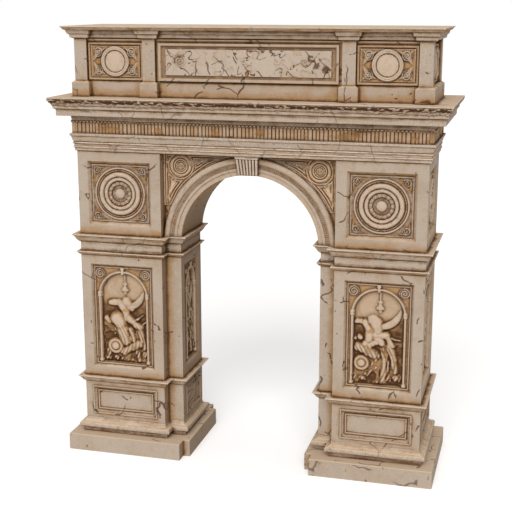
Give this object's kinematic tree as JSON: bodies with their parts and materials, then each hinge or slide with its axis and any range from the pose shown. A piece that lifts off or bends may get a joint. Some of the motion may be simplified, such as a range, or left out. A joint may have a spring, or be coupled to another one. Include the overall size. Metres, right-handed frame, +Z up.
{
  "type": "triumphal arch",
  "caption": "Free-standing stone gateway: panelled piers on moulded pedestals carry a barrel-vaulted arch, a full entablature and an attic storey, with reliefs and roundels.",
  "frame": {"origin": "on the ground, in the middle of the passage, at the centre of the overall plan", "axes": "+X along the front to the right, +Y through the passage from front to back, +Z up"},
  "size_m": [13.476, 4.536, 15],
  "materials": {
    "wall_stone": "rough",
    "moulded_stone": "worn",
    "carved_stone": "weathered",
    "weathered_stone": "weathered"
  },
  "bodies": {
    "root": {"left_plinth": "wall_stone", "right_plinth": "wall_stone", "left_base_moulding": "moulded_stone", "right_base_moulding": "moulded_stone", "left_pedestal": "wall_stone", "right_pedestal": "wall_stone", "left_pedestal_cap": "moulded_stone", "right_pedestal_cap": "moulded_stone", "left_shaft": "wall_stone", "right_shaft": "wall_stone", "left_jamb": "wall_stone", "right_jamb": "wall_stone", "left_front_relief": "carved_stone", "right_front_relief": "carved_stone", "left_back_relief": "carved_stone", "right_back_relief": "carved_stone", "left_end_relief": "carved_stone", "right_end_relief": "carved_stone", "left_reveal_relief": "carved_stone", "right_reveal_relief": "carved_stone", "left_impost": "moulded_stone", "right_impost": "moulded_stone", "left_upper_pier": "wall_stone", "right_upper_pier": "wall_stone", "left_roundels": "carved_stone", "right_roundels": "carved_stone", "vault": "wall_stone", "spandrel_wall": "wall_stone", "front_archivolt": "weathered_stone", "back_archivolt": "weathered_stone", "front_keystone": "moulded_stone", "back_keystone": "moulded_stone", "front_rosettes": "carved_stone", "back_rosettes": "carved_stone", "architrave": "moulded_stone", "frieze": "carved_stone", "bead_course": "carved_stone", "cornice": "moulded_stone", "attic_base": "wall_stone", "attic_wall": "wall_stone", "attic_pilasters": "wall_stone", "front_tablet": "wall_stone", "back_tablet": "wall_stone", "attic_frames": "wall_stone", "attic_roundels": "carved_stone", "attic_cornice": "moulded_stone"}
  },
  "joints": []
}
